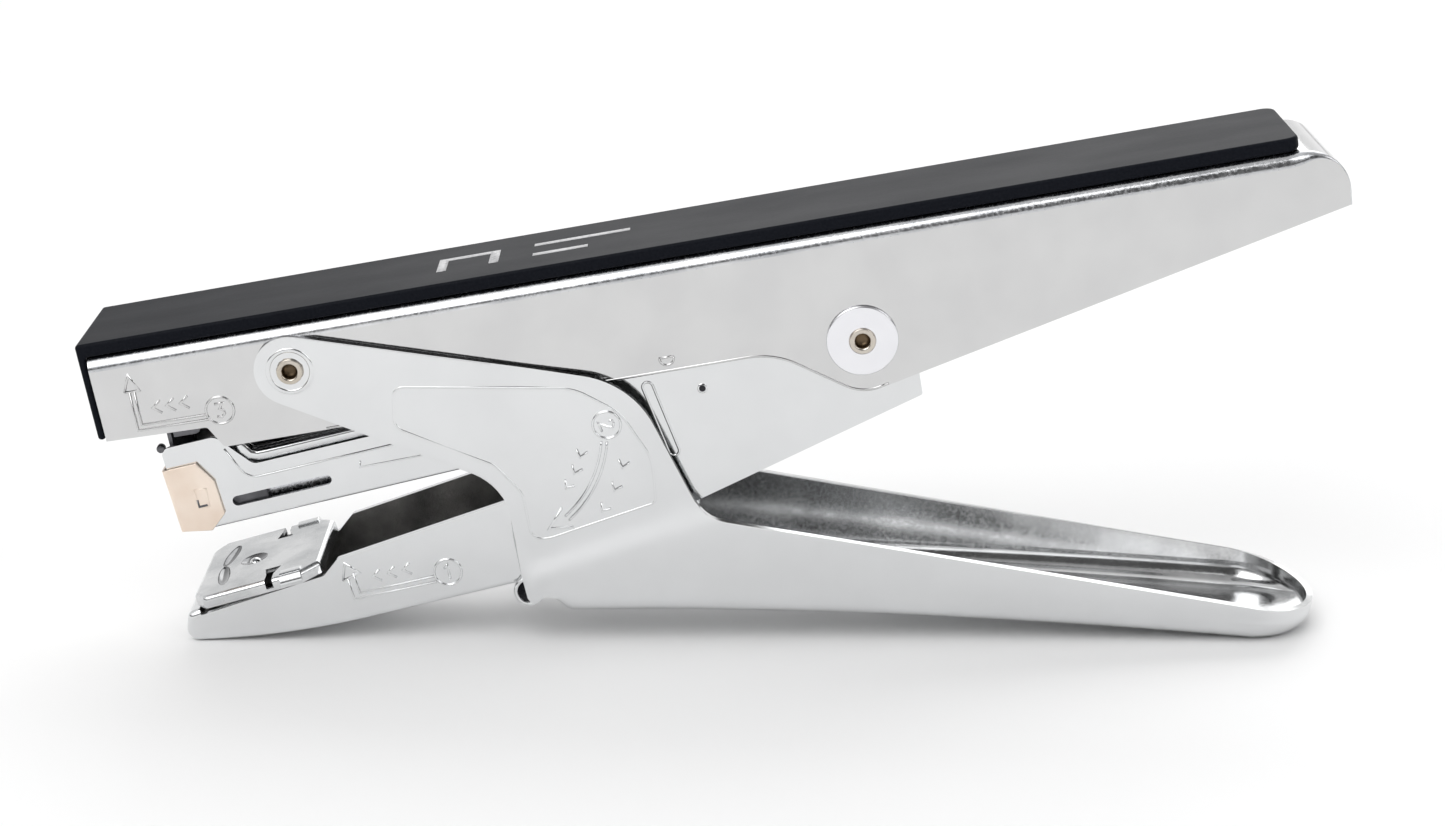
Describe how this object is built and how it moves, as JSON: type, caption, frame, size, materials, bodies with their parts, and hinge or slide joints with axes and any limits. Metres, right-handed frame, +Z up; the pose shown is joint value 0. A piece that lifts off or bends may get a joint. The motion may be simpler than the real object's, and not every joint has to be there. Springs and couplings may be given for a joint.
{
  "type": "plier stapler",
  "caption": "Hand-squeezed plier stapler with a long sheet-steel top lever, a plastic cap, a trough-shaped lower handle, an anvil arm and a hinged staple magazine.",
  "frame": {"origin": "centre of the overall footprint, at the surface that the arm's front foot and the handle's tail stand on", "axes": "+X from the jaws to the grip, +Y across the width, +Z up"},
  "size_m": [0.1798, 0.0257, 0.0754],
  "materials": {
    "chrome_sheet": "bright polished plating on formed sheet",
    "charcoal_plastic": "satin moulded plastic",
    "champagne_clip": "pale copper-coloured plating, satin",
    "zinc_steel": "bright zinc plate",
    "spring_steel": "oiled spring steel",
    "dark_steel": "hardened and blackened steel",
    "nickel_rivet": "nickel plated tubular rivet"
  },
  "bodies": {
    "top_lever": {"top_channel": "chrome_sheet", "top_cover": "charcoal_plastic", "driver_blade": "dark_steel", "driver_holder": "dark_steel", "driver_rivet": "zinc_steel", "magazine_leaf_spring": "spring_steel", "front_rivet": "nickel_rivet", "rear_rivet": "nickel_rivet", "rear_washer_left": "zinc_steel", "rear_washer_right": "zinc_steel", "pivot_sleeve": "zinc_steel", "arm_return_spring": "spring_steel"},
    "handle": {"lower_handle": "chrome_sheet"},
    "arm": {"anvil_arm": "chrome_sheet", "anvil_plate": "zinc_steel", "anvil_rivet": "zinc_steel"},
    "magazine": {"magazine_shell": "chrome_sheet", "magazine_nose": "champagne_clip", "staple_rail": "zinc_steel", "rod_stop": "dark_steel", "pusher_rod": "zinc_steel", "pusher_spring": "spring_steel"},
    "pusher": {"staple_pusher": "dark_steel"}
  },
  "joints": [
    {"name": "handle_squeeze", "type": "hinge", "parent": "top_lever", "child": "handle", "pos_m": [-0.0594, 0, 0.04245], "axis": [0, -1, 0], "range_deg": [0, 17], "stiffness_Nm_per_rad": 1.5, "springref_deg": -11.46},
    {"name": "arm_press", "type": "hinge", "parent": "top_lever", "child": "arm", "pos_m": [0.0214, 0, 0.04656], "axis": [0, 1, 0], "range_deg": [0, 8.65], "stiffness_Nm_per_rad": 1.5, "springref_deg": -11.46, "deforming": ["arm_return_spring"]},
    {"name": "magazine_press", "type": "hinge", "parent": "top_lever", "child": "magazine", "pos_m": [0.0214, 0, 0.04656], "axis": [0, 1, 0], "range_deg": [0, 3.95], "stiffness_Nm_per_rad": 1, "springref_deg": -8.59, "deforming": ["magazine_leaf_spring"]},
    {"name": "pusher_slide", "type": "slide", "parent": "magazine", "child": "pusher", "axis": [0.9708, 0, 0.2401], "range_m": [0, 0.046], "stiffness_N_per_m": 40, "springref_m": -0.04, "deforming": ["pusher_spring"]}
  ],
  "couplings": [
    {"joint": "arm_press", "follows": "handle_squeeze", "ratio": 0.506},
    {"joint": "magazine_press", "follows": "handle_squeeze", "ratio": 0.229}
  ]
}
